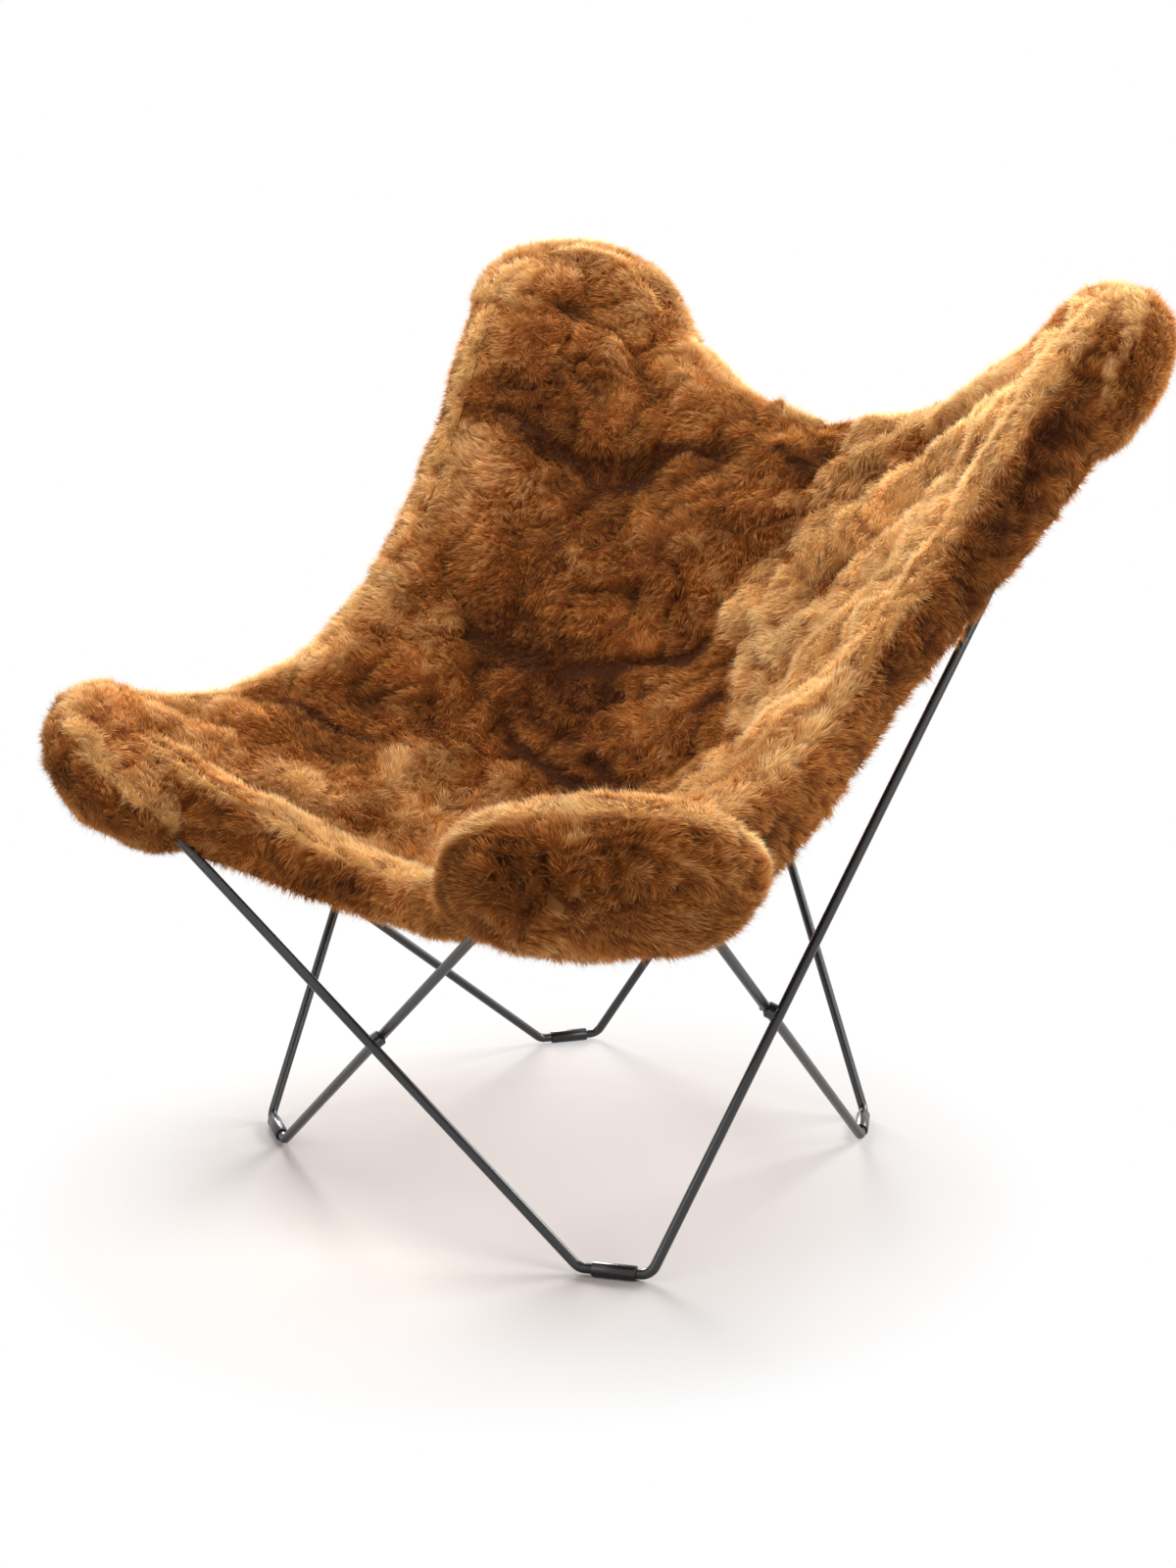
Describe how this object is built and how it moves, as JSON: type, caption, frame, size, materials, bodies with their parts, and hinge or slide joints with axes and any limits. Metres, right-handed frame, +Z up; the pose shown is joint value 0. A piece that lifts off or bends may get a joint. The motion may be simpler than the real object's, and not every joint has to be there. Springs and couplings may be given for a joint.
{
  "type": "butterfly chair",
  "caption": "Low lounge chair with a deep fur-covered leather sling hung by corner pockets on a crossed frame of bent black rod.",
  "frame": {"origin": "middle of the footprint box, on the floor", "axes": "+Z up, -Y the way a sitter faces, +X to the sitter's left"},
  "size_m": [0.9294, 0.9294, 0.9238],
  "materials": {
    "black_rod": "satin black powder coat",
    "black_sleeve": "glossy black nylon",
    "black_screw": "black zinc",
    "suede": "brown suede, flesh side out",
    "fur_brown": "short dense sheepskin, cognac brown",
    "fur_gold": "short dense sheepskin, golden brown",
    "fur_dark": "short dense sheepskin, dark rust brown"
  },
  "bodies": {
    "root": {"rod_front_left": "black_rod", "rod_back_right": "black_rod", "rod_front_right": "black_rod", "rod_back_left": "black_rod", "foot_sleeve_front_right": "black_sleeve", "foot_sleeve_back_left": "black_sleeve", "foot_sleeve_front_left": "black_sleeve", "foot_sleeve_back_right": "black_sleeve", "crossing_spacer_front": "black_rod", "crossing_screw_front": "black_screw", "crossing_spacer_right": "black_rod", "crossing_screw_right": "black_screw", "crossing_spacer_left": "black_rod", "crossing_screw_left": "black_screw", "crossing_spacer_back": "black_rod", "crossing_screw_back": "black_screw", "leather_sling": "suede", "fur_seat_left": "fur_brown", "fur_seat_right": "fur_brown", "fur_back_left": "fur_brown", "fur_back_right": "fur_gold", "fur_hem_left": "fur_brown", "fur_hem_right": "fur_brown", "fur_hem_front": "fur_brown", "fur_hem_back": "fur_brown", "pocket_lining_front_left": "suede", "fur_pocket_front_left": "fur_dark", "pocket_lining_front_right": "suede", "fur_pocket_front_right": "fur_dark", "pocket_lining_back_left": "suede", "fur_pocket_back_left": "fur_dark", "pocket_lining_back_right": "suede", "fur_pocket_back_right": "fur_dark"}
  },
  "joints": []
}
